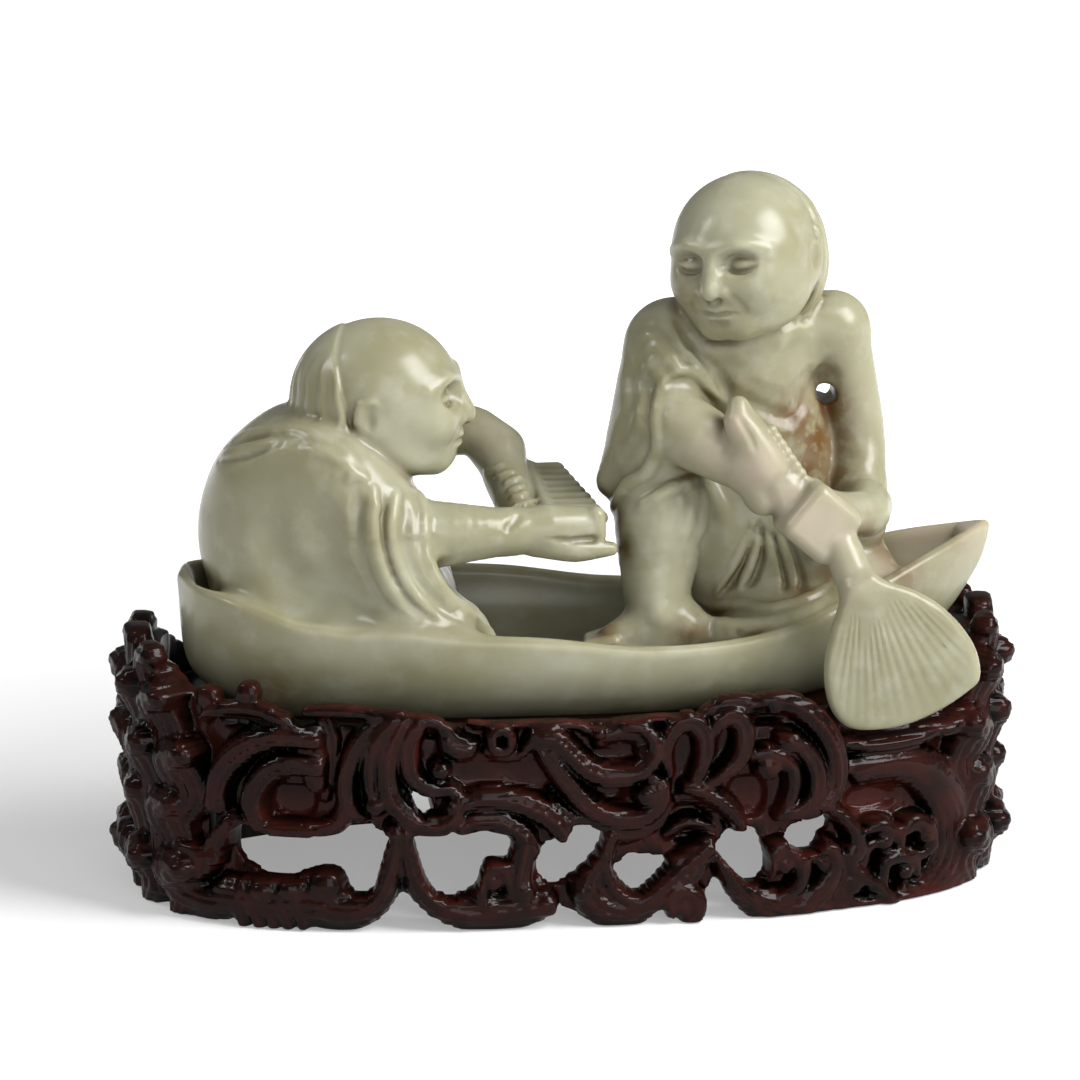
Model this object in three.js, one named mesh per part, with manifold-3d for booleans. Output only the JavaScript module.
// A pale jade carving of two figures in a small boat, one holding a ribbed bundle and one a paddle,
// on a fitted openwork scroll stand of dark wood. Millimetres, +Z up. X runs from the stern to the bow
// and -Y is the front. The origin is on the surface that the stand rests on, under the stand's centre.
import * as THREE from "three";
import { mergeVertices } from "three/addons/utils/BufferGeometryUtils.js";
import Module from "manifold-3d";

const wasm = await Module();
wasm.setup();

// Driving dimensions of the stand.
const STAND = {
  halfLength: 68, halfWidth: 33, squareness: 2.6, wallTop: 32, wallFoot: 15.5, wall: 2.8, wallBehind: 3,
};
STAND.deck = { foot: 22, top: 29.5 };

// Driving dimensions of the boat.
const BOAT = { stern: -59.8, bow: 67.5, wall: 2.9, keelFlat: 26.4, clearance: 0.35 };

const vector = (p) => new THREE.Vector3(p[0], p[1], p[2]);

// Solids

function solid(geometry) {
  const bare = geometry.index ? geometry.toNonIndexed() : geometry.clone();
  const positions = new THREE.BufferGeometry().setAttribute("position", bare.getAttribute("position"));
  const merged = mergeVertices(positions, 1e-4);
  const mesh = new wasm.Mesh({
    numProp: 3,
    vertProperties: merged.attributes.position.array,
    triVerts: new Uint32Array(merged.index.array),
  });
  return new wasm.Manifold(mesh);
}

function join(shapes) {
  return shapes.reduce((all, shape) => all.add(shape));
}

function geometryOf(shape) {
  const mesh = shape.getMesh();
  const positions = new Float32Array(mesh.numVert * 3);
  for (let i = 0; i < mesh.numVert; i++) {
    positions.set(mesh.vertProperties.subarray(i * mesh.numProp, i * mesh.numProp + 3), i * 3);
  }
  const geometry = new THREE.BufferGeometry();
  geometry.setAttribute("position", new THREE.BufferAttribute(positions, 3));
  geometry.setIndex(new THREE.BufferAttribute(mesh.triVerts, 1));
  geometry.computeVertexNormals();
  return geometry;
}

// A closed skin over rings of points, with a point or a flat fan at each end.
function loft(rings, first = null, last = null) {
  const sides = rings[0].length;
  const middle = (ring) => ring.reduce((sum, p) => sum.add(p), new THREE.Vector3()).divideScalar(sides);
  const points = [first ?? middle(rings[0]), ...rings.flat(), last ?? middle(rings.at(-1))];
  const faces = [];
  const at = (ring, side) => 1 + ring * sides + (side % sides);
  for (let side = 0; side < sides; side++) {
    faces.push(0, at(0, side + 1), at(0, side));
    for (let ring = 0; ring < rings.length - 1; ring++) {
      faces.push(at(ring, side), at(ring, side + 1), at(ring + 1, side));
      faces.push(at(ring, side + 1), at(ring + 1, side + 1), at(ring + 1, side));
    }
    faces.push(points.length - 1, at(rings.length - 1, side), at(rings.length - 1, side + 1));
  }
  const geometry = new THREE.BufferGeometry().setFromPoints(points);
  geometry.setIndex(faces);
  const made = solid(geometry);
  return made.volume() < 0 ? solid(geometry.setIndex(faces.reverse())) : made;
}

// A limb along a smooth curve. Each point has its radius, and flat squeezes it along an axis. Its ends
// are domes, or low points where round is false.
function limb(points, radii, { sides = 6, steps = 5, flat = null, round = true } = {}) {
  const path = new THREE.CatmullRomCurve3(points.map(vector), false, "catmullrom", 0.5);
  const radiusAt = (t) => {
    const place = t * (radii.length - 1);
    const low = Math.min(Math.floor(place), radii.length - 2);
    return THREE.MathUtils.lerp(radii[low], radii[low + 1], place - low);
  };
  const rings = [];
  const across = new THREE.Vector3();
  const addRing = (t, shift, share) => {
    const tangent = path.getTangent(t).normalize();
    if (!rings.length) across.set(0.31, 0.17, 0.93);
    across.addScaledVector(tangent, -across.dot(tangent)).normalize();
    const side = tangent.clone().cross(across);
    const centre = path.getPoint(t).addScaledVector(tangent, shift * radiusAt(t));
    const ring = [];
    for (let i = 0; i < sides; i++) {
      const angle = (2 * Math.PI * i) / sides;
      const out = across.clone().multiplyScalar(Math.cos(angle)).addScaledVector(side, Math.sin(angle));
      out.multiplyScalar(radiusAt(t) * share);
      if (flat) out.addScaledVector(flat.axis, (flat.share - 1) * out.dot(flat.axis));
      ring.push(centre.clone().add(out));
    }
    rings.push(ring);
  };
  const DOME = 0.72;
  if (round) addRing(0, -Math.sqrt(1 - DOME * DOME), DOME);
  for (let i = 0; i <= steps; i++) addRing(i / steps, 0, 1);
  if (round) addRing(1, Math.sqrt(1 - DOME * DOME), DOME);
  const reach = round ? 1 : 0.5;
  const tip = (t, way) => path.getPoint(t).addScaledVector(
    path.getTangent(t).normalize(), way * reach * radiusAt(t),
  );
  return loft(rings, tip(0, -1), tip(1, 1));
}

function ellipsoid(centre, radii, { turn = [0, 0, 0], around = 10, up = 6 } = {}) {
  const geometry = new THREE.SphereGeometry(1, around, up);
  geometry.rotateX(Math.PI / 2).scale(...radii);
  geometry.applyMatrix4(new THREE.Matrix4().makeRotationFromEuler(new THREE.Euler(...turn, "ZYX")));
  geometry.translate(...centre);
  return solid(geometry);
}

// A smooth value along X through [x, value] pairs.
function profile(pairs) {
  return (x) => {
    let i = 0;
    while (i < pairs.length - 2 && x > pairs[i + 1][0]) i++;
    const [x0, v0] = pairs[i];
    const [x1, v1] = pairs[i + 1];
    const before = pairs[i - 1] ?? pairs[i];
    const after = pairs[i + 2] ?? pairs[i + 1];
    const slope0 = (v1 - before[1]) / (x1 - before[0]);
    const slope1 = (after[1] - v0) / (after[0] - x0);
    const t = THREE.MathUtils.clamp((x - x0) / (x1 - x0), 0, 1);
    const span = x1 - x0;
    const rise = (2 * t ** 3 - 3 * t ** 2 + 1) * v0 + (3 * t ** 2 - 2 * t ** 3) * v1;
    return rise + (t ** 3 - 2 * t ** 2 + t) * span * slope0 + (t ** 3 - t ** 2) * span * slope1;
  };
}

// Boat

const sheer = profile([
  [-59.8, 50.2], [-51, 48], [-42, 45.8], [-25, 44.2], [-7, 43.2], [10, 41], [27, 41.5], [39, 44.6],
  [54, 50], [67.5, 54],
]);
const beam = profile([
  [-59.8, 2.5], [-57.5, 8.5], [-51, 15.5], [-42, 20], [-25, 23.5], [-7, 24.3], [10, 23.6], [27, 21],
  [39, 17.8], [54, 10.5], [67.5, 0.7],
]);
const keel = profile([
  [-59.8, 43], [-59, 37.5], [-57, 33.5], [-53, 30.2], [-46, 27.6], [-30, 26], [20, 26], [38, 28], [52, 33],
  [60, 39], [65, 46], [67.5, 51.5],
]);
const floorLevel = profile([
  [-57, 45], [-51, 37], [-42, 32.5], [-30, 31.2], [22, 31.2], [34, 33.5], [44, 40.5], [54, 45.8],
  [63.5, 51.5],
]);

// One cross-section of the hull: rim to rim by way of the bottom.
function hullRing(x, halfWidth, top, bottom, points, fullness) {
  const ring = [];
  for (let i = 0; i <= points; i++) {
    const angle = (Math.PI * i) / points;
    const y = -halfWidth * Math.sign(Math.cos(angle)) * Math.abs(Math.cos(angle)) ** fullness;
    const z = top - (top - bottom) * Math.sin(angle) ** fullness;
    ring.push(new THREE.Vector3(x, y, z));
  }
  return ring;
}

// Cross-sections stand closer together towards both ends.
function stations(from, to, count) {
  return Array.from({ length: count + 1 }, (_, i) => {
    const t = i / count;
    return THREE.MathUtils.lerp(from, to, 0.5 - 0.5 * Math.cos(Math.PI * t));
  });
}

function hull(grow = 0) {
  const rings = stations(BOAT.stern - grow, BOAT.bow + grow, 12).map((x) =>
    hullRing(x, beam(x) + grow, sheer(x), keel(x) - grow, 8, 0.82),
  );
  return loft(rings);
}

function hollow() {
  const ABOVE = 6;
  const rings = stations(BOAT.stern + BOAT.wall, BOAT.bow - 2 * BOAT.wall, 9).map((x) =>
    hullRing(x, Math.max(beam(x) - BOAT.wall, 0.6), sheer(x) + ABOVE, floorLevel(x), 6, 0.5),
  );
  return loft(rings);
}

function boat() {
  const belowKeel = solid(new THREE.BoxGeometry(200, 100, 20).translate(0, 0, BOAT.keelFlat - 10));
  return hull().subtract(hollow()).subtract(belowKeel);
}

// Figures

// A head in its own frame: +X is the way it faces, +Z its crown, then turned and placed.
function head(centre, turn) {
  const parts = [
    ellipsoid([-0.8, 0, 2.2], [12.4, 11.4, 11.2], { around: 10, up: 6 }),
    ellipsoid([2.6, 0, -3.4], [8.8, 8.8, 8], { around: 8, up: 4 }),
    limb([[10.6, 0, 2], [12, 0, -1], [11.8, 0, -3]], [0.8, 1.5, 1.9], { sides: 4, steps: 2, round: false }),
    limb(
      [[9.6, -2.6, -6.4], [10.8, 0, -6.2], [9.6, 2.6, -6.4]], [0.8, 1.2, 0.8],
      { sides: 4, steps: 2, round: false },
    ),
    ...[-1, 1].map((side) => ellipsoid([-1.4, side * 10.6, -1.4], [2.4, 1.3, 3.4], { around: 5, up: 3 })),
    ...[-1, 1].map((side) => limb(
      [[10.4, side * 1.2, 2.4], [9.2, side * 5.8, 2.2]], [1.1, 0.8], { sides: 4, steps: 1, round: false },
    )),
  ];
  const matrix = new THREE.Matrix4().makeRotationFromEuler(new THREE.Euler(...turn, "ZYX"));
  matrix.setPosition(...centre);
  return join(parts).transform(matrix.toArray());
}

// A row of fingers side by side between two matching rows of points.
function fingers(starts, ends, radius) {
  return starts.map((start, i) => limb(
    [start, ends[i]], [radius, radius * 0.8], { sides: 5, steps: 1, round: false },
  ));
}

// Raised folds of cloth: each is a thin limb that lies in the surface.
function folds(curves, radius) {
  return curves.map((curve) => limb(
    curve, [radius * 0.7, radius, radius, radius * 0.6], { sides: 4, steps: 2, round: false },
  ));
}

// The figure that sits in the stern, seen from its right side, leaning over the bundle in its hands.
function sternFigure() {
  const body = [
    ellipsoid([-39.5, 0.5, 55.5], [16.8, 15.8, 19.2], { around: 10, up: 6 }),
    ellipsoid([-40, 0, 41], [14, 14, 9], { around: 8, up: 4 }),
    limb(
      [[-47, -5, 66], [-38, -9, 67.5], [-31, -11.5, 58], [-25, -13.5, 49], [-14, -14, 41]],
      [4.6, 7.6, 9, 8.4, 5], { steps: 5 },
    ),
    limb(
      [[-47, 6, 66], [-38, 9, 67], [-30, 11.5, 57], [-24, 12.5, 48], [-15, 13, 41]],
      [4.6, 7.6, 8.5, 7.8, 5], { steps: 4 },
    ),
    limb([[-38, -4, 38], [-28, 0, 43], [-16, 1, 41]], [11, 13, 8], { steps: 2 }),
    limb([[-39, 0, 66], [-34, -1, 69], [-31, -2, 71]], [9.4, 8.4, 7.4], { steps: 2 }),
  ];
  const nearArm = limb(
    [[-25, -12.5, 57.2], [-16, -13, 57.4], [-8.5, -12.5, 57.6]], [5.8, 4.4, 3], { steps: 3 },
  );
  const farArm = limb(
    [[-30, 12, 63], [-19.5, 13.5, 67], [-11, 12.5, 68], [-7.2, 9.5, 63]], [5, 4, 3.7, 2.8], { steps: 4 },
  );
  const nearHand = [
    limb([[-8.5, -12.3, 58], [-3.5, -11.8, 57.6], [1, -11.4, 57]], [2.9, 3.4, 2.6], { steps: 2 }),
    ...fingers([[-3, -12.8, 55.4], [-1, -11, 58.4]], [[5.2, -12.6, 54.2], [4.2, -10.6, 57]], 1.4),
  ];
  const farHand = [
    limb([[-7.6, 9.4, 64], [-7.2, 6.5, 61.5], [-6.4, 3, 59.6]], [2.8, 3.2, 2.2], { steps: 2 }),
    ...fingers([[-8.4, 7, 62.6], [-7.8, 3.4, 60]], [[-4.2, 6, 63.2], [-3.6, 2.4, 60.8]], 1.6),
  ];
  const drape = folds(
    [
      [[-35, -14, 69], [-27, -17.6, 60], [-22.5, -20, 51], [-13.5, -18, 42]],
      [[-38, -14.8, 68], [-31.5, -19, 58], [-27, -20.6, 50], [-18.5, -19.6, 42]],
      [[-51.5, -5, 68], [-45, -10, 72], [-37, -12, 73], [-30, -13, 69]],
    ],
    1.3,
  );
  return [
    ...body, nearArm, farArm, ...nearHand, ...farHand, ...drape, bundle(),
    head([-28.4, -2.6, 75.4], [0, 0.1, -0.2]),
  ];
}

// Slips held side by side between the two hands, sloping up to the far hand, as one ribbed slab.
function bundle() {
  const SLIPS = 9;
  const length = 14;
  const slip = { width: 2.1, rise: 0.9, thick: 2 };
  const shape = new THREE.Shape();
  shape.moveTo(0, 0);
  for (let i = 0; i < SLIPS; i++) {
    shape.lineTo(i * slip.width, slip.thick);
    shape.lineTo((i + 0.5) * slip.width, slip.thick + slip.rise);
  }
  shape.lineTo(SLIPS * slip.width, slip.thick).lineTo(SLIPS * slip.width, 0);
  const geometry = new THREE.ExtrudeGeometry(shape, { depth: length, bevelEnabled: false, steps: 1 });
  const slope = THREE.MathUtils.degToRad(21);
  geometry.rotateY(Math.PI / 2).rotateX(Math.PI / 2);
  const pastTheEnds = new THREE.BoxGeometry(20, 40, 20).translate(10, 20, 0);
  pastTheEnds.rotateZ(0.33).translate(length, -1, 0);
  const slab = solid(geometry).subtract(solid(pastTheEnds));
  const place = new THREE.Matrix4().makeRotationX(slope).setPosition(-7, -9.5, 54.4);
  return slab.transform(place.toArray());
}

// The figure that squats towards the bow with the paddle, its robe off one shoulder.
function bowFigure() {
  const narrow = { axis: new THREE.Vector3(0, 1, 0), share: 0.8 };
  const body = [
    limb(
      [[32, 3.5, 47], [31, 3, 56], [30, 2, 66], [28.4, 1, 77], [28.8, 0, 85]], [14.5, 13.5, 12, 10.8, 7.5],
      { sides: 8, steps: 4, flat: narrow },
    ),
    limb([[17.5, 0, 82], [29, 0, 84], [42.6, 1, 84.6]], [6.8, 7.4, 6], { steps: 3, flat: narrow }),
    limb([[29, 0, 84], [28, -2, 91]], [5.4, 5.4], { steps: 1 }),
    limb([[38.5, 6, 69], [42, 4, 60], [43, 3, 48]], [5.4, 6.4, 8], { steps: 3, flat: narrow }),
    ellipsoid([33, 0, 43], [14, 12, 10], { around: 8, up: 4 }),
  ];
  const sleeve = [
    limb(
      [[17, 0, 82.6], [14.8, -2.5, 77], [14, -4, 69], [14.5, -4, 61]], [7.2, 7.2, 7.4, 6.4], { steps: 3 },
    ),
    limb([[12.6, 0, 76], [9.4, -1, 68.5], [7, -2, 62]], [4.8, 4.8, 2.6], { steps: 3 }),
  ];
  const paddleArm = limb([[14, -7, 73], [19.5, -11.5, 70.5], [25.5, -15, 67]], [5.8, 5.2, 4], { steps: 3 });
  const strutArm = limb(
    [[43, 1, 84.8], [45.8, 1.5, 76.5], [47, 0.5, 67], [46.6, -4, 60], [43, -13, 58]],
    [6, 5.2, 4.4, 3.7, 3.4], { steps: 6 },
  );
  const legs = [
    limb(
      [[26, 4, 46], [16, -5, 57], [14.4, -9.5, 49.5], [13, -11.6, 42]], [9.5, 7.8, 6.2, 5], { steps: 4 },
    ),
    limb([[16, -12, 42], [9, -12.6, 41.6], [3.4, -14, 40.2]], [4.6, 3.8, 2.2], { steps: 3 }),
    limb([[38, 5, 46], [46, -3, 43], [36, -10.5, 40], [24, -12.5, 38.5]], [9, 7, 5.4, 4], { steps: 3 }),
    ellipsoid([9.6, -12.2, 35.2], [10.4, 5.2, 5.2], { around: 8, up: 4 }),
  ];
  const hands = [
    ellipsoid([29, -16, 66.6], [5, 4.6, 6.4], { turn: [0, -0.5, 0], around: 8, up: 5 }),
    ...fingers(
      [[27.8, -17.8, 71], [29.7, -18.6, 68.2], [31.6, -18.9, 65.4]],
      [[31, -15, 73], [33, -15.8, 70.2], [34.8, -16.3, 67.4]], 1.6,
    ),
    ellipsoid([38.3, -18.6, 58.8], [6, 5, 5.6], { turn: [0, 0.6, 0], around: 8, up: 5 }),
  ];
  const skirt = folds(
    [
      [[24, -9, 56], [22.5, -12, 50], [21.5, -13.5, 45], [20.5, -13, 40]],
      [[27, -9.5, 56], [27.5, -12, 50], [28.5, -13.6, 45], [29, -14, 41]],
      [[31, -9.5, 56], [34, -11.3, 50], [37, -12.4, 46], [39, -12, 42]],
      [[12, -6, 84], [9, -8.4, 77], [7.2, -7.6, 70], [6.2, -5, 63]],
      [[15.5, -7, 83], [12, -9.6, 76], [10.2, -10.6, 69], [9.8, -9, 63]],
    ],
    1.2,
  );
  return [
    ...body, ...sleeve, paddleArm, strutArm, ...legs, ...hands, ...skirt, paddle(),
    head([27.4, -4, 97], [0.1, 0.04, -2.2]),
  ];
}

// Outline of the paddle's fan-shaped blade, seen from the front: [x, z].
const BLADE = [
  [39.2, 51], [37.6, 46.5], [36.2, 41.5], [35.9, 36], [37.2, 31.2], [40, 28.6], [44.5, 28.2], [49, 28.9],
  [54, 31], [58, 33.6], [60, 35.8], [59.4, 40], [57, 44], [53.4, 47.6], [49.4, 50], [45.5, 51.4],
  [42.6, 52.8],
];

function blade(grow = 0) {
  const shape = new THREE.Shape(BLADE.map(([x, z]) => new THREE.Vector2(x, z)));
  const bevel = 0.7;
  const geometry = new THREE.ExtrudeGeometry(shape, {
    depth: 2.4 + 2 * grow,
    steps: 1,
    bevelSize: bevel,
    bevelThickness: bevel,
    bevelOffset: grow - bevel,
    bevelSegments: 1,
  });
  return solid(geometry.rotateX(Math.PI / 2).translate(0, grow - 26.6, 0));
}

function paddle() {
  const shaft = limb(
    [[24.4, -16.4, 76.5], [30.5, -17, 67], [38, -20, 58.5], [41.6, -26, 49.5]], [1.9, 2, 2.2, 2.6],
    { sides: 6, steps: 4 },
  );
  return join([shaft, blade()]);
}

// Stand

// The stand's plan is a rounded oval.
function planPoint(angle, length, width) {
  const power = 2 / STAND.squareness;
  const x = length * Math.sign(Math.sin(angle)) * Math.abs(Math.sin(angle)) ** power;
  const y = -width * Math.sign(Math.cos(angle)) * Math.abs(Math.cos(angle)) ** power;
  return new THREE.Vector2(x, y);
}

// The line that the scrolls follow round the wall, from the middle of the back by way of the stern.
const WALL_LINE = (() => {
  const STEPS = 1440;
  const line = [];
  let along = 0;
  for (let i = 0; i <= STEPS; i++) {
    const angle = -Math.PI + (2 * Math.PI * i) / STEPS;
    const point = planPoint(angle, STAND.halfLength - STAND.wallBehind, STAND.halfWidth - STAND.wallBehind);
    if (i) along += point.distanceTo(line.at(-1).point);
    line.push({ point, along });
  }
  const middle = line[STEPS / 2].along;
  line.forEach((entry) => (entry.along -= middle));
  return line;
})();
const HALF_GIRTH = WALL_LINE.at(-1).along;

// Places on the wall are [s, z]: s runs along the wall from the middle of the front towards the bow.
function onWall(s, z, out) {
  const wrapped = THREE.MathUtils.euclideanModulo(s + HALF_GIRTH, 2 * HALF_GIRTH) - HALF_GIRTH;
  const i = Math.max(1, WALL_LINE.findIndex((entry) => entry.along >= wrapped));
  const [before, after] = [WALL_LINE[i - 1], WALL_LINE[i]];
  const place = before.point.clone().lerp(
    after.point, (wrapped - before.along) / (after.along - before.along),
  );
  const along = after.point.clone().sub(before.point).normalize();
  return [place.x + along.y * out, place.y - along.x * out, z];
}

// A carved stroke along places on the wall, thick[0] at its start and thick[1] at its end, out from the wall.
function stroke(places, thick, { out = 0.8, shift = 0 } = {}) {
  const points = places.map(([s, z], i) => onWall(s + shift, z, Array.isArray(out) ? out[i] : out));
  const radii = places.map((_, i) => THREE.MathUtils.lerp(thick[0], thick[1], i / (places.length - 1)));
  return limb(points, radii, { sides: 4, steps: places.length - 1, round: false });
}

// Places on part of an oval about [s, z], with its sizes, in degrees from the bow side upwards.
function arc([s, z], [width, height], from, to) {
  const STEPS = Math.max(2, Math.round(Math.abs(to - from) / 80));
  return Array.from({ length: STEPS + 1 }, (_, i) => {
    const angle = THREE.MathUtils.degToRad(THREE.MathUtils.lerp(from, to, i / STEPS));
    return [s + width * Math.cos(angle), z + height * Math.sin(angle)];
  });
}

// The upper band: C-scrolls and leaves over the wall. The ones with both are on the back too.
const UPPER = [
  { line: arc([-51, 27.5], [8.5, 6.6], 30, 150), thick: [2, 1.6] },
  { line: arc([-49.5, 23.5], [8, 6], 60, 215), thick: [2, 2.5], both: true },
  { line: arc([-44, 23.4], [8.6, 6.4], 120, 325), thick: [2, 2.2], both: true },
  { line: arc([-33, 25], [5.4, 8], 100, 285), thick: [2, 2.3] },
  { line: arc([-24.5, 24.5], [7, 7.6], 120, 320), thick: [2.4, 2.3] },
  { line: arc([-23.4, 27.3], [4.4, 5.2], 30, 250), thick: [1.6, 1.9] },
  { line: [[-45, 32.6], [-39, 33.6], [-33.5, 33.4]], thick: [1.7, 1.8] },
  { line: [[-28, 16.6], [-20.5, 18.2], [-14, 19.6], [-8, 18.8], [-4, 16.5]], thick: [2.3, 2.1] },
  { line: [[-10, 31], [-4, 29], [-1.2, 26]], thick: [2, 2.2] },
  { line: arc([3.8, 28.2], [5.6, 4], 165, 440), thick: [2.3, 2] },
  { line: arc([3.8, 20.8], [6.3, 4.2], 140, 390), thick: [2.6, 2.3], both: true },
  { line: [[12, 26.5], [12.8, 30.2], [16, 30.6], [14.2, 22.5]], thick: [1.8, 1.6] },
  { line: [[17.6, 30.5], [20.4, 32.8], [23.2, 29.6], [14.5, 22.2]], thick: [2, 1.7] },
  { line: arc([30, 25.2], [7.6, 8.4], 115, -100), thick: [2.2, 2.4], both: true },
  { line: arc([29.6, 23.2], [4.6, 5], 130, -110), thick: [2, 2] },
  { line: [[14.5, 22], [19, 21.4], [23, 16.4]], thick: [2, 1.8] },
  { line: [[39, 25.5], [47, 25.6], [55, 22.4], [60, 13], [57, 2.4]], thick: [2.3, 3], both: true },
  { line: [[42, 20.6], [50, 20.8], [55, 13.5], [52, 4.8]], thick: [2, 2.6] },
  { line: [[48, 13], [50.5, 7.6], [45, 4]], thick: [2.6, 2.6] },
  { line: [[36.5, 17], [39.8, 13.6], [41.4, 7], [46, 2.6]], thick: [2.1, 2.4] },
];

// The lower band: open scrolls that end in feet.
const LOWER = [
  {
    line: [[-72, 12], [-64, 4.6], [-52, 1.9], [-40, 1.6], [-32, 4.2], [-28.6, 15.5]], thick: [3.2, 2.8],
    both: true,
  },
  { line: [[-44.6, 4.6], [-39.8, 7]], thick: [2.6, 2.3] },
  { line: [[-58, 8], [-54.6, 16.5]], thick: [2.6, 2.2] },
  { line: [[-66, 9], [-65, 15], [-59, 20]], thick: [2.8, 2.4] },
  { line: [[-29, 14.5], [-25.6, 6.4], [-19, 1.9], [-11, 1.6], [-6.6, 4.6]], thick: [2.6, 2.8], both: true },
  { line: [[-10.4, 4], [-9.8, 15.5]], thick: [2.8, 2.2], both: true },
  { line: [[-9, 16.4], [1.8, 15], [0.6, 9], [-4.6, 5]], thick: [1.9, 1.8] },
  { line: [[-6.5, 4.4], [-1, 1.5], [8, 1.6], [14, 6.4], [19, 13]], thick: [2.5, 3], both: true },
  { line: [[2.6, 14.6], [3, 5.4]], thick: [2.2, 1.9] },
  { line: [[3, 13.4], [14, 11.4]], thick: [2.4, 2.6] },
  {
    line: [[18, 13.5], [20.4, 7], [26, 1.8], [34, 1.5], [39.4, 7], [36.6, 16.6]], thick: [2.6, 2.6],
    both: true,
  },
  { line: [[28.4, 4], [28.6, 10.6]], thick: [2.8, 2.2] },
  { line: [[27.4, 9], [28.6, 17]], thick: [1.8, 1.9] },
  { line: [[40, 2.4], [48, 1.6], [58, 1.7], [68, 2.4], [77, 5]], thick: [2.8, 2.8], both: true },
];

// A fan of leaves that rises round each end of the boat and rolls in at the tips, above hanging lobes.
function endLeaves(side) {
  const LEAVES = 5;
  const made = [];
  for (let i = 0; i < LEAVES; i++) {
    const fan = i - (LEAVES - 1) / 2;
    const at = (side * HALF_GIRTH) / 2 + 7.2 * fan;
    const top = 40.2 - 1.2 * fan * fan;
    const sway = fan < 0 ? -1 : 1;
    made.push(stroke(
      [[at, 17], [at + 1.4 * sway, 25], [at - 0.4 * sway, top - 5], [at + 1.2 * sway, top]], [3.3, 2.6],
      { out: [0.4, 1.8, 2.6, -0.8] },
    ));
    made.push(stroke(
      [[at, 18], [at - 1.6 * sway, 8.5], [at + 1.2 * sway, 1.6]], [2.8, 3.1], { out: [0.2, 2.8, 3] },
    ));
  }
  return made;
}

function ovalRing(outer, inner, low, high) {
  const SEGMENTS = 20;
  const line = (shrink) =>
    Array.from({ length: SEGMENTS }, (_, i) =>
      planPoint((2 * Math.PI * (i + 0.5)) / SEGMENTS, STAND.halfLength - shrink, STAND.halfWidth - shrink),
    );
  const shape = new THREE.Shape(line(outer));
  if (inner !== null) shape.holes.push(new THREE.Path(line(inner)));
  const geometry = new THREE.ExtrudeGeometry(shape, { depth: high - low, bevelEnabled: false, steps: 1 });
  return solid(geometry.translate(0, 0, low));
}

function stand() {
  const wall = ovalRing(STAND.wallBehind, STAND.wallBehind + STAND.wall, STAND.wallFoot, STAND.wallTop);
  const deck = ovalRing(STAND.wallBehind + 1, null, STAND.deck.foot, STAND.deck.top);
  const front = [...UPPER, ...LOWER].map(({ line, thick, out }) => stroke(line, thick, { out }));
  const back = [...UPPER, ...LOWER].filter(({ both }) => both).map(({ line, thick }) => stroke(
    line, thick, { shift: HALF_GIRTH },
  ));
  const underFloor = solid(new THREE.BoxGeometry(300, 200, 20).translate(0, 0, -10));
  const pocketFloor = BOAT.keelFlat - BOAT.clearance;
  const belowPocket = solid(new THREE.BoxGeometry(300, 200, 20).translate(0, 0, pocketFloor - 10));
  const pocket = hull(BOAT.clearance).subtract(belowPocket).add(blade(BOAT.clearance));
  const whole = join([wall, deck, ...front, ...back, ...endLeaves(-1), ...endLeaves(1)]);
  return whole.subtract(underFloor).subtract(pocket);
}

// Assembly

function part(name, shape, colour, roughness) {
  const material = new THREE.MeshStandardMaterial({ color: colour, roughness, metalness: 0 });
  const mesh = new THREE.Mesh(geometryOf(shape), material);
  mesh.name = name;
  return mesh;
}

const group = new THREE.Group();
const jade = join([boat(), ...sternFigure(), ...bowFigure()]);
group.add(part("jade_boat_group", jade, 0xc9c8b4, 0.25));
group.add(part("openwork_stand", stand(), 0x3a1614, 0.3));

export default group;
